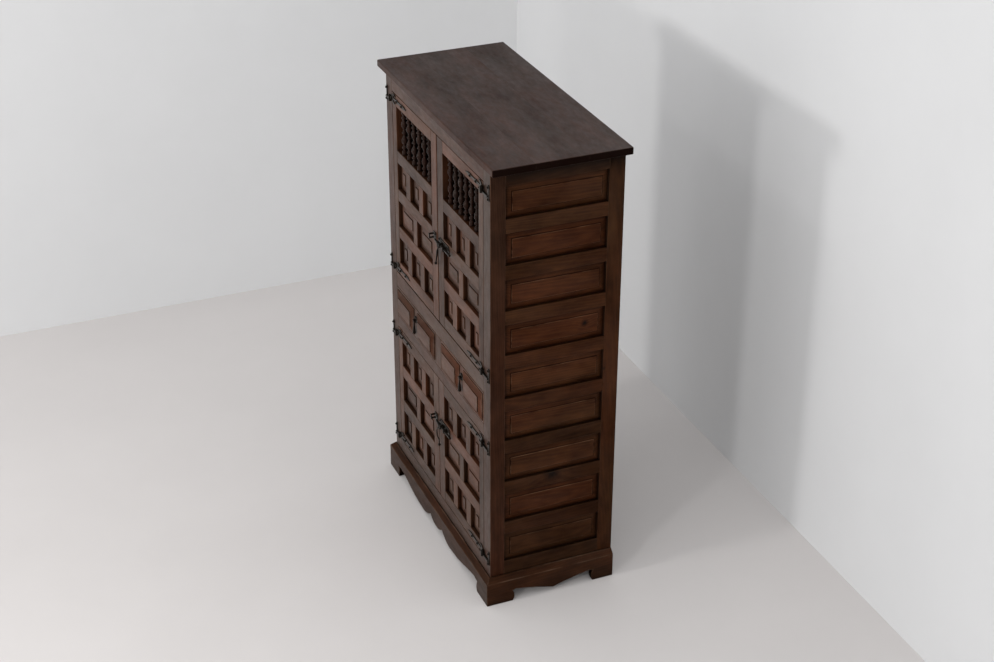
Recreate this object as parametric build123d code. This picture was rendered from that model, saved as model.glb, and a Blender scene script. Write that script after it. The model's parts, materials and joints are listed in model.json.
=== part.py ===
from build123d import *

import math
import os

# A Castilian two-tier cupboard in pine: panelled doors above and below a pair of
# drawers, with forged hinges, bolts and pulls. Millimetres, +Z up, the front faces -Y.
# The origin is at floor level, under the centre of the whole outline.

# ---------------------------------------------------------------- driving dimensions
# Carcass
body_width = 912.0
body_depth = 446.0
front_post_width = 55.0
front_post_depth = 50.0
back_post_width = 40.0
back_post_depth = 53.0
frame_thickness = 24.0

# Top, three planks edge to edge
top_thickness = 24.0
top_side_overhang = 48.0
top_front_overhang = 14.0
top_edge_radius = 4.0
front_plank_width = 140.0
back_plank_width = 145.0

# Plinth boards around the front and the sides
plinth_height = 104.0
plinth_thickness = 20.0
plinth_splay = 17.0
plinth_top_flat = 4.0
rail_lap_behind_plinth = 40.0
front_foot_width = 92.0
side_front_foot_width = 94.0
side_back_foot_width = 76.0
foot_notch_height = 46.0
foot_notch_depth = 6.0
apron_lobe_height = 14.0
apron_centre_height = 21.0
apron_cusp_height = 42.0
apron_cusp_offset = 56.0
apron_lobe_offset = 142.0

# Rails of the front, from the bottom up
bottom_rail_height = 46.0
under_drawer_rail_height = 44.0
drawer_opening_height = 118.0
over_drawer_rail_height = 58.0
frieze_rail_height = 53.0
drawer_mullion_width = 48.0

# Doors: rails and openings from the bottom up
lower_door_bottom_rail = 44.0
lower_door_row_height = 99.0
lower_door_middle_rail = 45.0
lower_door_top_rail = 47.0
upper_door_bottom_rail = 50.0
upper_door_row_height = 97.0
upper_door_middle_rail = 44.0
grille_sill_height = 45.0
grille_height = 158.0
upper_door_top_rail = 43.0
outer_stile_width = 36.0
inner_stile_width = 48.0
narrow_mullion_width = 38.0
wide_mullion_width = 36.0
door_side_gap = 2.0
door_end_gap = 1.5
upper_door_sill_gap = 4.0
upper_meeting_gap = 6.0
lower_meeting_gap = 2.5
upper_meeting_x = 12.0
lower_meeting_x = -3.0

# Mortises, tenons and panel grooves
tenon_length = 16.0
stub_tenon_length = 7.0
tenon_thickness = 7.0
tenon_depth = 5.0
tenon_shoulder = 9.0
groove_depth = 8.0
groove_width = 6.0
panel_play = 0.4

# Raised and fielded panels
door_panel_set_back = 14.0
door_field_set_back = 7.0
door_panel_bevel = 21.0
side_panel_set_back = 12.0
side_field_set_back = 4.0
side_panel_bevel = 20.0
field_step = 2.6

# Sides
side_bottom_rail = 51.0
side_middle_rail = 48.0
side_top_rail = 56.0
side_panel_count = 9

# Turned spindles of the upper doors
spindles_per_door = 6
spindle_radius = 9.5
spindle_set_back = 12.0
spindle_end_radius = 5.0
spindle_end_length = 6.0

# Back
back_board_thickness = 10.0
back_board_count = 6
back_board_gap = 0.5
back_rebate_width = 20.0
back_rail_thickness = 22.0
back_rail_height = 40.0

# Floors, shelves and their cleats
board_thickness = 18.0
shelf_thickness = 18.0
door_stop_height = 6.0
board_clearance = 0.3
shelf_front_gap = 6.0
upper_shelf_share = 0.49
lower_shelf_share = 0.49
cleat_width = 18.0
cleat_height = 22.0

# Drawers
drawer_front_gap = 1.5
drawer_front_thickness = 22.0
drawer_box_length = 360.0
drawer_side_thickness = 12.0
drawer_side_height = 100.0
drawer_bottom_thickness = 6.0
drawer_bottom_lift = 10.0
drawer_lift = 0.3
drawer_field_relief = 11.0
drawer_field_bevel = 22.0
drawer_field_step = 2.6
drawer_field_border = 8.0
drawer_field_spacing = 34.0
drawer_running_gap = 1.5
drawer_guide_height = 34.0
kicker_clearance = 1.0

# Forged hinges
hinge_pin_radius = 3.0
hinge_pin_clearance = 0.05
hinge_pin_stand_off = 7.0
hinge_eye_radius = 6.0
hinge_eye_height = 12.0
hinge_lug_height = 7.0
hinge_lug_gap = 0.3
hinge_axis_offset = 1.0
strap_thickness = 3.0
strap_width = 9.0
strap_length = 140.0
strap_first_nail = 53.0
strap_second_nail = 100.0
strap_boss_radius = 7.5
crescent_radius = 18.0
crescent_inner_radius = 13.0
crescent_shift = 6.5
crescent_offset = 24.0
hinge_plate_offset = 43.0
hinge_plate_thickness = 3.0
hinge_plate_width = 9.0
hinge_plate_lobe_radius = 7.5
hinge_nail_spacing = 39.0
nail_head_radius = 4.6
nail_head_height = 3.2
strap_nail_head_radius = 5.6
strap_nail_head_height = 4.8
nail_shank_radius = 1.2
nail_hole_clearance = 0.05
nail_length = 16.0

# Sliding bolts
bolt_radius = 4.0
bolt_length = 126.0
bolt_clearance = 0.4
bolt_end_set_back = 3.0
bolt_collar_length = 12.0
bolt_plate_thickness = 2.5
bolt_plate_height = 32.0
bolt_plate_length = 88.0
bolt_plate_start = 12.0
bolt_nail_inset = 6.0
staple_width = 8.0
staple_wall = 3.5
staple_offsets = (30.0, 62.0)
keeper_plate_height = 30.0
keeper_plate_length = 28.0
keeper_set_back = 9.0
keeper_staple_inset = 2.0
keeper_play = 1.2

# Hanging drops of the bolts and drawers
drop_pin_radius = 2.0
drop_pin_clearance = 0.05
drop_lug_width = 5.0
drop_lug_radius = 4.2
drop_cheek_gap = 0.4
drop_cheek_width = 2.4
drop_thickness = 5.0
bolt_lug_position = 21.0
bolt_lug_drop = 10.5
long_drop_length = 78.0
long_drop_width = 9.0
long_drop_lean = 22.0
loop_drop_length = 78.0
loop_outer_radius = 25.0
loop_inner_radius = 20.5
pull_drop_length = 54.0
pull_drop_radius = 5.8
pull_plate_radius = 14.0
pull_plate_thickness = 2.0
pull_stand_off = 8.5
pull_lift = 16.0
ball_radius = 5.0

# ---------------------------------------------------------------- levels and faces
half_width = body_width / 2
front_y = plinth_thickness - (body_depth + plinth_thickness) / 2
back_y = front_y + body_depth
inner_x = half_width - front_post_width
side_inner_x = half_width - frame_thickness

lower_door_low = plinth_height + bottom_rail_height
lower_door_high = (lower_door_low + lower_door_bottom_rail + 3 * lower_door_row_height
                   + 2 * lower_door_middle_rail + lower_door_top_rail)
drawer_low = lower_door_high + under_drawer_rail_height
drawer_high = drawer_low + drawer_opening_height
upper_door_low = drawer_high + over_drawer_rail_height
upper_door_high = (upper_door_low + upper_door_bottom_rail + 3 * upper_door_row_height
                   + 2 * upper_door_middle_rail + grille_sill_height + grille_height
                   + upper_door_top_rail)
body_top = upper_door_high + frieze_rail_height
rail_bottom = plinth_height - rail_lap_behind_plinth

floor_top = lower_door_low + door_stop_height
deck_top = drawer_low
upper_floor_top = upper_door_low + door_stop_height
upper_floor_under = upper_floor_top - board_thickness
back_inner_y = back_y - back_board_thickness
back_rail_front = back_inner_y - back_rail_thickness

hinge_axis_x = inner_x + hinge_axis_offset
hinge_axis_y = front_y - hinge_pin_stand_off


# ---------------------------------------------------------------- shared shapes
def block(x0, x1, y0, y1, z0, z1):
    centre = Pos((x0 + x1) / 2, (y0 + y1) / 2, (z0 + z1) / 2)
    return centre * Box(x1 - x0, y1 - y0, z1 - z0)


def rod_x(x0, x1, y, z, radius):
    return Pos((x0 + x1) / 2, y, z) * Rot(0, 90, 0) * Cylinder(radius, x1 - x0)


def rod_y(x, y0, y1, z, radius):
    return Pos(x, (y0 + y1) / 2, z) * Rot(90, 0, 0) * Cylinder(radius, y1 - y0)


def rod_z(x, y, z0, z1, radius):
    return Pos(x, y, (z0 + z1) / 2) * Cylinder(radius, z1 - z0)


def group(solids):
    return Compound(children=[solid for part in solids for solid in part.solids()])


def mirrored(part):
    return mirror(part, about=Plane.YZ)


def on_front(u0, u1, d0, d1, v0, v1):
    """A box on the front: u across, d inwards from the face, v up."""
    return (u0, u1, front_y + d0, front_y + d1, v0, v1)


def on_right_side(u0, u1, d0, d1, v0, v1):
    """A box on the right side: u towards the back, d inwards from the face, v up."""
    return (half_width - d1, half_width - d0, u0, u1, v0, v1)


def reaches_into(a, b):
    return all(a[i] < b[i + 1] and b[i] < a[i + 1] for i in (0, 2, 4))


class Member:
    """One stick of a frame: its body and its tenons, as boxes on the frame's face."""

    def __init__(self, body, tenons=()):
        self.body = body
        self.tenons = list(tenons)


def rail(u0, u1, v0, v1, length=None):
    reach = tenon_length if length is None else length
    low, high = tenon_depth, tenon_depth + tenon_thickness
    v_low, v_high = v0 + tenon_shoulder, v1 - tenon_shoulder
    tenons = [(u0 - reach, u0, low, high, v_low, v_high), (u1, u1 + reach, low, high, v_low, v_high)]
    return Member((u0, u1, 0, frame_thickness, v0, v1), tenons)


def mullion(u0, u1, v0, v1):
    low, high = tenon_depth, tenon_depth + tenon_thickness
    u_low, u_high = u0 + tenon_shoulder, u1 - tenon_shoulder
    reach = stub_tenon_length
    tenons = [(u_low, u_high, low, high, v0 - reach, v0), (u_low, u_high, low, high, v1, v1 + reach)]
    return Member((u0, u1, 0, frame_thickness, v0, v1), tenons)


def stile(u0, u1, v0, v1, thickness=frame_thickness):
    return Member((u0, u1, 0, thickness, v0, v1))


def panel_groove(opening, set_back):
    u0, u1, v0, v1 = opening
    g = groove_depth
    return (u0 - g, u1 + g, set_back, set_back + groove_width, v0 - g, v1 + g)


def cut_joints(place, members, grooves):
    """The solids of a frame: each member keeps its tenons and is cut for the others'."""
    solids = []
    for member in members:
        solid = block(*place(*member.body))
        for tenon in member.tenons:
            solid += block(*place(*tenon))
        foreign = [tenon for other in members if other is not member for tenon in other.tenons]
        for hollow in foreign + grooves:
            if reaches_into(member.body, hollow):
                solid -= block(*place(*hollow))
        solids.append(solid)
    return solids


def raised_panel(width, height, set_back, field_set_back, bevel):
    """A panel facing -Y, centred on its opening, with its tongue in the grooves all round."""
    reach = 2 * (groove_depth - panel_play)
    tongue = block(-(width + reach) / 2, (width + reach) / 2, set_back, set_back + groove_width,
                   -(height + reach) / 2, (height + reach) / 2)
    foot_y = field_set_back + field_step
    foot = Plane.XZ.offset(-set_back) * Rectangle(width - panel_play, height - panel_play)
    brow = Plane.XZ.offset(-foot_y) * Rectangle(width - 2 * bevel, height - 2 * bevel)
    slope = loft([foot, brow], ruled=True)
    field = block(-(width / 2 - bevel - field_step), width / 2 - bevel - field_step,
                  field_set_back, foot_y,
                  -(height / 2 - bevel - field_step), height / 2 - bevel - field_step)
    return tongue + slope + field


def nail(x, z, seat_y, radius=nail_head_radius, height=nail_head_height):
    """A forged nail driven along +Y, its head seated at seat_y."""
    head_back = Plane.XZ.offset(-seat_y)
    head_front = Plane.XZ.offset(-(seat_y - height))
    head = loft([head_back * Pos(x, z) * RegularPolygon(radius, 8),
                 head_front * Pos(x, z) * RegularPolygon(radius * 0.4, 8)], ruled=True)
    return head + rod_y(x, seat_y, seat_y + nail_length, z, nail_shank_radius)


def strap_nail(x, z, seat_y):
    return nail(x, z, seat_y, strap_nail_head_radius, strap_nail_head_height)


def nail_hole(x, z, seat_y):
    radius = nail_shank_radius + nail_hole_clearance
    return rod_y(x, seat_y, seat_y + nail_length + nail_hole_clearance, z, radius)


def drilled(solid, holes):
    for hole in holes:
        solid -= hole
    return solid


# ---------------------------------------------------------------- top and plinth
def top_planks():
    low_y = front_y - top_front_overhang
    x = half_width + top_side_overhang
    slab = block(-x, x, low_y, back_y, body_top, body_top + top_thickness)
    rounded = slab.edges().filter_by(Axis.Z).group_by(Axis.Y)[0]
    rounded += slab.edges().group_by(Axis.Y)[0].filter_by(Axis.X)
    rounded += slab.edges().group_by(Axis.X)[0].filter_by(Axis.Y)
    rounded += slab.edges().group_by(Axis.X)[-1].filter_by(Axis.Y)
    slab = fillet(rounded, top_edge_radius)
    seams = [low_y, low_y + front_plank_width, back_y - back_plank_width, back_y]
    return [slab & block(-x, x, y0, y1, body_top, body_top + top_thickness)
            for y0, y1 in zip(seams, seams[1:])]


def plinth_section(outer, inner):
    """Height profile of a plinth board, from the floor to its splayed top."""
    top = plinth_height
    points = [(outer, 0), (outer, top - plinth_splay),
              (inner - math.copysign(plinth_top_flat, inner - outer), top), (inner, top), (inner, 0)]
    return make_face(Polyline(*points, close=True))


def foot_notch(x, lean):
    """The inner edge of a foot, a shallow hollow that leans towards the gap."""
    return ThreePointArc((x + lean * 1.0, foot_notch_height - 4),
                         (x - lean * foot_notch_depth, foot_notch_height / 2), (x, 0))


def front_apron_outline():
    """Half of the front board's lower edge, from the centre to the foot, then the rest."""
    foot = half_width + plinth_thickness - front_foot_width
    lobe_end = (apron_lobe_offset + foot) / 2 + 8
    shoulder = (foot - 26, foot_notch_height + 2)
    half = [
        ThreePointArc((0, apron_centre_height), (apron_cusp_offset * 0.62, apron_centre_height * 1.3),
                      (apron_cusp_offset, apron_cusp_height)),
        ThreePointArc((apron_cusp_offset, apron_cusp_height),
                      (apron_cusp_offset * 1.6, apron_lobe_height * 1.45),
                      (apron_lobe_offset, apron_lobe_height)),
        ThreePointArc((apron_lobe_offset, apron_lobe_height),
                      (apron_lobe_offset * 1.36, apron_lobe_height * 1.22),
                      (lobe_end, apron_lobe_height * 2.2)),
        ThreePointArc((lobe_end, apron_lobe_height * 2.2),
                      ((lobe_end + shoulder[0]) / 2, foot_notch_height - 5), shoulder),
        Line(shoulder, (foot + 1, foot_notch_height - 4)),
        foot_notch(foot, 1),
    ]
    return half


def whole_board_face(half, end, top):
    """A face bounded below by the half outline and its mirror, up to the top."""
    other = [mirror(edge, about=Plane.YZ) for edge in half]
    foot = half[-1] @ 1
    rest = Polyline((foot.X, 0), (end, 0), (end, top), (-end, top), (-end, 0), (-foot.X, 0))
    return make_face(Wire.combine([*half, *other, *rest.edges()])[0])


def plinth_front():
    end = half_width + plinth_thickness
    face = whole_board_face(front_apron_outline(), end, plinth_height)
    board = extrude(Plane.XZ.offset(-front_y) * face, plinth_thickness)
    profile = Plane.YZ * plinth_section(front_y - plinth_thickness, front_y)
    bar = extrude(profile, end, both=True)
    mitre = Polyline((-end, front_y - plinth_thickness), (end, front_y - plinth_thickness),
                     (half_width, front_y), (-half_width, front_y), close=True)
    wedge = extrude(make_face(mitre), plinth_height)
    return board & bar & wedge


def side_apron_face():
    """Elevation of the side board, u towards the back, from the mitred front end."""
    u_front = front_y - plinth_thickness
    u_back = back_y
    foot_a = u_front + side_front_foot_width
    foot_b = u_back - side_back_foot_width
    middle = (foot_a + foot_b) / 2
    shoulder = foot_notch_height
    reach = 12
    edges = [
        Line((u_front, plinth_height), (u_front, 0)),
        Line((u_front, 0), (foot_a, 0)),
        ThreePointArc((foot_a, 0), (foot_a + foot_notch_depth, shoulder / 2), (foot_a - 1, shoulder - 4)),
        Line((foot_a - 1, shoulder - 4), (foot_a + reach, shoulder)),
        ThreePointArc((foot_a + reach, shoulder), (middle - 58, apron_lobe_height * 2.1),
                      (middle, apron_lobe_height)),
        ThreePointArc((middle, apron_lobe_height), (middle + 58, apron_lobe_height * 2.1),
                      (foot_b - reach, shoulder)),
        Line((foot_b - reach, shoulder), (foot_b + 1, shoulder - 4)),
        ThreePointArc((foot_b + 1, shoulder - 4), (foot_b - foot_notch_depth, shoulder / 2), (foot_b, 0)),
        Line((foot_b, 0), (u_back, 0)),
        Line((u_back, 0), (u_back, plinth_height)),
        Line((u_back, plinth_height), (u_front, plinth_height)),
    ]
    return make_face(Wire.combine(edges)[0])


def plinth_right():
    end = half_width + plinth_thickness
    board = extrude(Plane.YZ.offset(half_width) * side_apron_face(), plinth_thickness)
    profile = Plane.XZ.offset(-back_y) * plinth_section(end, half_width)
    bar = extrude(profile, body_depth + plinth_thickness)
    mitre = Polyline((end, front_y - plinth_thickness), (end, back_y), (half_width, back_y),
                     (half_width, front_y), close=True)
    wedge = extrude(make_face(mitre), plinth_height)
    return board & bar & wedge


# ---------------------------------------------------------------- carcass frames
def side_levels():
    """Heights of the side rails' edges, from the bottom up, as (low, high) pairs."""
    low = plinth_height + side_bottom_rail
    high = body_top - side_top_rail
    opening = (high - low - (side_panel_count - 1) * side_middle_rail) / side_panel_count
    rails = [(rail_bottom, low)]
    for _ in range(side_panel_count - 1):
        start = rails[-1][1] + opening
        rails.append((start, start + side_middle_rail))
    rails.append((high, body_top))
    return rails


def right_side():
    u0, u1 = front_y + front_post_depth, back_y - back_post_depth
    rails = side_levels()
    posts = [stile(front_y, u0, 0, body_top, front_post_width),
             stile(u1, back_y, 0, body_top, back_post_width)]
    members = posts + [rail(u0, u1, low, high) for low, high in rails]
    openings = [(u0, u1, below[1], above[0]) for below, above in zip(rails, rails[1:])]
    grooves = [panel_groove(opening, side_panel_set_back) for opening in openings]
    solids = cut_joints(on_right_side, members, grooves)
    panels = []
    for u_low, u_high, v_low, v_high in openings:
        panel = raised_panel(u_high - u_low, v_high - v_low, side_panel_set_back,
                             side_field_set_back, side_panel_bevel)
        centre = Pos(half_width, (u_low + u_high) / 2, (v_low + v_high) / 2)
        panels.append(centre * Rot(0, 0, 90) * panel)
    return solids[0], solids[1], solids[2:], panels


def front_rail_members():
    heights = [(rail_bottom, lower_door_low), (lower_door_high, drawer_low),
               (drawer_high, upper_door_low), (upper_door_high, body_top)]
    rails = [rail(-inner_x, inner_x, low, high) for low, high in heights]
    half = drawer_mullion_width / 2
    return rails + [mullion(-half, half, drawer_low, drawer_high)]


def back_boards():
    edge = half_width - back_rebate_width
    pitch = (2 * edge + back_board_gap) / back_board_count
    return [block(-edge + i * pitch, -edge + (i + 1) * pitch - back_board_gap,
                  back_inner_y, back_y, rail_bottom, body_top) for i in range(back_board_count)]


def back_rails():
    x = half_width - back_post_width
    tops = [floor_top - board_thickness, deck_top - board_thickness, upper_floor_under, body_top]
    return [block(-x, x, back_rail_front, back_inner_y, top - back_rail_height, top) for top in tops]


def post_clearance(board):
    """The board notched around the four posts."""
    play = board_clearance
    z0, z1 = 0, body_top
    for sign in (-1, 1):
        for width, y0, y1 in ((front_post_width, front_y, front_y + front_post_depth),
                              (back_post_width, back_y - back_post_depth, back_y)):
            low, high = sorted((sign * (half_width - width - play), sign * half_width))
            board -= block(low, high, y0 - play, y1 + play, z0, z1)
    return board


def carcass_board(top, thickness, low_y):
    x = side_inner_x - board_clearance
    return post_clearance(block(-x, x, low_y, back_inner_y - board_clearance, top - thickness, top))


def shelf_top(low, high, share):
    return low + (high - low) * share


upper_shelf_top = shelf_top(upper_floor_top, body_top, upper_shelf_share)
lower_shelf_top = shelf_top(floor_top, deck_top - board_thickness, lower_shelf_share)


def cleats():
    """Strips on the side frames, one pair under each board and shelf."""
    unders = [floor_top - board_thickness, deck_top - board_thickness, upper_floor_under,
              upper_shelf_top - shelf_thickness, lower_shelf_top - shelf_thickness]
    y0 = front_y + front_post_depth
    y1 = back_y - back_post_depth
    strips = []
    for under in unders:
        strip = block(side_inner_x - cleat_width, side_inner_x, y0, y1, under - cleat_height, under)
        strips += [strip, mirrored(strip)]
    return strips


def drawer_guides():
    """Strips that keep the drawers straight and stop them tipping when they are out."""
    y0 = front_y + frame_thickness
    y_post = front_y + front_post_depth
    y_side = back_y - back_post_depth
    guide_top = deck_top + drawer_guide_height
    kicker_low = drawer_low + drawer_lift + drawer_side_height + kicker_clearance
    half = drawer_mullion_width / 2
    reach = half + drawer_running_gap + drawer_side_thickness
    side_reach = inner_x - drawer_running_gap - drawer_side_thickness
    kicker_edge = side_inner_x - cleat_width - board_clearance
    strips = [block(-half, half, y0, back_rail_front, deck_top, guide_top),
              block(-reach, reach, y0, back_rail_front, kicker_low, upper_floor_under)]
    for side in (1, -1):
        guide = block(inner_x, side_inner_x, y_post, y_side, deck_top, guide_top)
        kicker = block(side_reach, kicker_edge, y_post + board_clearance, y_side, kicker_low,
                       upper_floor_under)
        strips += [guide, kicker] if side == 1 else [mirrored(guide), mirrored(kicker)]
    return strips


# ---------------------------------------------------------------- doors
def strap_heights():
    """Height of each hinge strap: the middles of the doors' top and bottom rails."""
    return {
        "upper": (upper_door_low + upper_door_bottom_rail / 2, upper_door_high - upper_door_top_rail / 2),
        "lower": (lower_door_low + lower_door_bottom_rail / 2, lower_door_high - lower_door_top_rail / 2),
    }


def strap_nail_points(tier, side):
    xs = [side * (hinge_axis_x - offset) for offset in (strap_first_nail, strap_second_nail)]
    return [(x, z) for z in strap_heights()[tier] for x in xs]


class Door:
    """One door leaf: its frame, panels and, in the upper tier, its spindles."""

    def __init__(self, tier, side):
        self.tier = tier
        self.side = side
        meeting = upper_meeting_x if tier == "upper" else lower_meeting_x
        gap = upper_meeting_gap if tier == "upper" else lower_meeting_gap
        self.inner = meeting + side * gap / 2
        self.outer = side * (inner_x - door_side_gap)
        low, high = sorted((self.inner, self.outer))
        stiles = (outer_stile_width, inner_stile_width)
        low_stile, high_stile = stiles if side < 0 else stiles[::-1]
        self.u0, self.u1 = low + low_stile, high - high_stile
        self.low, self.high = low, high
        if tier == "upper":
            self.base, self.head = upper_door_low, upper_door_high
            rails = [upper_door_bottom_rail, upper_door_middle_rail, upper_door_middle_rail,
                     grille_sill_height, upper_door_top_rail]
            rows = [(upper_door_row_height, 3), (upper_door_row_height, 2),
                    (upper_door_row_height, 3), (grille_height, 0)]
        else:
            self.base, self.head = lower_door_low, lower_door_high
            rails = [lower_door_bottom_rail, lower_door_middle_rail, lower_door_middle_rail,
                     lower_door_top_rail]
            rows = [(lower_door_row_height, 3), (lower_door_row_height, 2), (lower_door_row_height, 3)]
        self.rail_spans, self.row_spans = self.levels(rails, rows)

    def levels(self, rails, rows):
        rail_spans, row_spans = [], []
        z = self.base
        sill_gap = upper_door_sill_gap if self.tier == "upper" else door_end_gap
        for index, height in enumerate(rails):
            low = z + sill_gap if index == 0 else z
            z += height
            high = z - door_end_gap if index == len(rails) - 1 else z
            rail_spans.append((low, high))
            if index < len(rows):
                row_spans.append((z, z + rows[index][0], rows[index][1]))
                z += rows[index][0]
        return rail_spans, row_spans

    def bolt_height(self):
        """The middle of the rail above the two wide panels."""
        low, high = self.rail_spans[2]
        return (low + high) / 2

    def openings(self, span):
        low, high, count = span
        if not count:
            return []
        bar = narrow_mullion_width if count == 3 else wide_mullion_width
        width = (self.u1 - self.u0 - (count - 1) * bar) / count
        return [(self.u0 + i * (width + bar), self.u0 + i * (width + bar) + width, low, high)
                for i in range(count)]

    def frame(self):
        z0, z1 = self.rail_spans[0][0], self.rail_spans[-1][1]
        members = [stile(self.low, self.u0, z0, z1), stile(self.u1, self.high, z0, z1)]
        members += [rail(self.u0, self.u1, low, high) for low, high in self.rail_spans]
        grooves = []
        for span in self.row_spans:
            cells = self.openings(span)
            grooves += [panel_groove(cell, door_panel_set_back) for cell in cells]
            members += [mullion(a[1], b[0], a[2], a[3]) for a, b in zip(cells, cells[1:])]
        solids = cut_joints(on_front, members, grooves)
        holes = [nail_hole(x, z, front_y) for x, z in strap_nail_points(self.tier, self.side)]
        holes += [nail_hole(x, z, front_y) for x, z in bolt_nail_points(self)]
        holes += self.spindle_sockets()
        return [drilled(solid, [hole for hole in holes if (solid & hole)]) for solid in solids]

    def panels(self):
        cells = [cell for span in self.row_spans for cell in self.openings(span)]
        return [Pos((u0 + u1) / 2, front_y, (v0 + v1) / 2)
                * raised_panel(u1 - u0, v1 - v0, door_panel_set_back, door_field_set_back, door_panel_bevel)
                for u0, u1, v0, v1 in cells]

    def spindle_points(self):
        if self.tier == "lower":
            return []
        pitch = (self.u1 - self.u0) / (spindles_per_door + 0.8)
        middle = (self.u0 + self.u1) / 2
        return [middle + (i - (spindles_per_door - 1) / 2) * pitch for i in range(spindles_per_door)]

    def spindle_sockets(self):
        if self.tier == "lower":
            return []
        low, high, _ = self.row_spans[-1]
        y = front_y + spindle_set_back
        reach = spindle_end_length
        sockets = []
        for x in self.spindle_points():
            sockets.append(rod_z(x, y, low - reach, low, spindle_end_radius))
            sockets.append(rod_z(x, y, high, high + reach, spindle_end_radius))
        return sockets

    def spindles(self):
        low, high, _ = self.row_spans[-1]
        turned = turned_spindle(high - low)
        return [Pos(x, front_y + spindle_set_back, low) * turned for x in self.spindle_points()]


def turned_spindle(height):
    """A baluster about Z from its lower socket to its upper one."""
    r = spindle_radius
    profile = [
        (spindle_end_radius, -spindle_end_length), (spindle_end_radius, 0), (r * 0.86, 0),
        (r * 0.86, height * 0.09), (r * 0.5, height * 0.12), (r * 0.9, height * 0.155),
        (r * 0.5, height * 0.19), (r, height * 0.31), (r * 0.78, height * 0.38),
        (r * 0.42, height * 0.46), (r * 0.8, height * 0.5), (r * 0.42, height * 0.54),
        (r * 0.78, height * 0.62), (r, height * 0.69), (r * 0.5, height * 0.81),
        (r * 0.9, height * 0.845), (r * 0.5, height * 0.88), (r * 0.86, height * 0.91),
        (r * 0.86, height), (spindle_end_radius, height), (spindle_end_radius, height + spindle_end_length),
    ]
    top, bottom = profile[-1][1], profile[0][1]
    outline = Polyline((0, bottom), *profile, (0, top), close=True)
    return revolve(Plane.XZ * make_face(outline), Axis.Z)


# ---------------------------------------------------------------- hinges
def strap(z):
    """A right-hand strap: an eye on the pin, a crescent, a bar with two bosses and a leaf."""
    axis = hinge_axis_x
    eye_low, eye_high = z - hinge_eye_height / 2, z + hinge_eye_height / 2
    bore = hinge_pin_radius + hinge_pin_clearance
    eye = rod_z(axis, hinge_axis_y, eye_low, eye_high, hinge_eye_radius)
    neck = block(axis - crescent_offset + crescent_radius - 4, axis - bore - 0.4,
                 hinge_axis_y, front_y, eye_low, eye_high)
    centre = axis - crescent_offset
    bar = Pos(axis - strap_length / 2, z) * Rectangle(strap_length - 4 * strap_boss_radius, strap_width)
    crescent = Pos(centre, z) * Circle(crescent_radius)
    crescent -= Pos(centre - crescent_shift, z) * Circle(crescent_inner_radius)
    outline = bar + crescent
    for offset in (strap_first_nail, strap_second_nail):
        outline += Pos(axis - offset, z) * Circle(strap_boss_radius)
    tip = axis - strap_length
    leaf_start = axis - strap_second_nail - strap_boss_radius * 0.5
    leaf = Polyline((leaf_start, z + strap_width / 2), (leaf_start - 10, z + strap_width * 0.72),
                    (tip, z), (leaf_start - 10, z - strap_width * 0.72),
                    (leaf_start, z - strap_width / 2), close=True)
    outline += make_face(leaf)
    plate = extrude(Plane.XZ.offset(-front_y) * outline, strap_thickness)
    solid = plate + eye + neck
    solid -= rod_z(axis, hinge_axis_y, eye_low - 1, eye_high + 1, bore)
    holes = [nail_hole(axis - offset, z, front_y - strap_thickness)
             for offset in (strap_first_nail, strap_second_nail)]
    return drilled(solid, holes)


def hinge_nail_heights(z):
    return (z - hinge_nail_spacing / 2, z + hinge_nail_spacing / 2)


def pintle(z):
    """A right-hand plate nailed to the post, with the pin that carries the strap's eye."""
    axis = hinge_axis_x
    x = axis + hinge_plate_offset
    outline = Pos(x, z) * Rectangle(hinge_plate_width, hinge_nail_spacing)
    for height in hinge_nail_heights(z):
        outline += Pos(x, height) * Circle(hinge_plate_lobe_radius)
    plate = extrude(Plane.XZ.offset(-front_y) * outline, hinge_plate_thickness)
    lug_high = z - hinge_eye_height / 2 - hinge_lug_gap
    lug_low = lug_high - hinge_lug_height
    lug = rod_z(axis, hinge_axis_y, lug_low, lug_high, hinge_eye_radius)
    arm = block(axis, x, hinge_axis_y, front_y, lug_low, lug_high)
    cap_low = z + hinge_eye_height / 2 + hinge_lug_gap
    pin = rod_z(axis, hinge_axis_y, lug_low, cap_low + 1, hinge_pin_radius)
    cap = Pos(axis, hinge_axis_y, cap_low + 2) * Cone(hinge_eye_radius * 0.8, hinge_eye_radius * 0.35, 4)
    solid = plate + lug + arm + pin + cap
    holes = [nail_hole(x, height, front_y - hinge_plate_thickness) for height in hinge_nail_heights(z)]
    return drilled(solid, holes)


def hinge_nail_points():
    """Nails of the right-hand plates, as (x, z)."""
    x = hinge_axis_x + hinge_plate_offset
    heights = [z for pair in strap_heights().values() for z in pair]
    return [(x, point) for z in heights for point in hinge_nail_heights(z)]


# ---------------------------------------------------------------- bolts and drops
bolt_axis_y = front_y - bolt_plate_thickness - staple_wall - bolt_clearance - bolt_radius


def bolt_plate_span(door):
    """The plate's ends: of the bolt on the right door, or of the keeper on the left one."""
    if door.side > 0:
        start = door.inner + bolt_plate_start
        return start, start + bolt_plate_length
    end = door.inner - keeper_set_back
    return end - keeper_plate_length, end


def bolt_nail_points(door):
    x0, x1 = bolt_plate_span(door)
    ends = (x0 + bolt_nail_inset, x1 - bolt_nail_inset) if door.side > 0 else (x1 - bolt_nail_inset,)
    height = bolt_plate_height if door.side > 0 else keeper_plate_height
    rise = height / 2 - bolt_nail_inset
    return [(x, door.bolt_height() + step) for x in ends for step in (-rise, rise)]


def nailed_plate(door, height):
    x0, x1 = bolt_plate_span(door)
    outline = Pos((x0 + x1) / 2, door.bolt_height()) * RectangleRounded(x1 - x0, height, 5)
    return extrude(Plane.XZ.offset(-front_y) * outline, bolt_plate_thickness)


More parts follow.
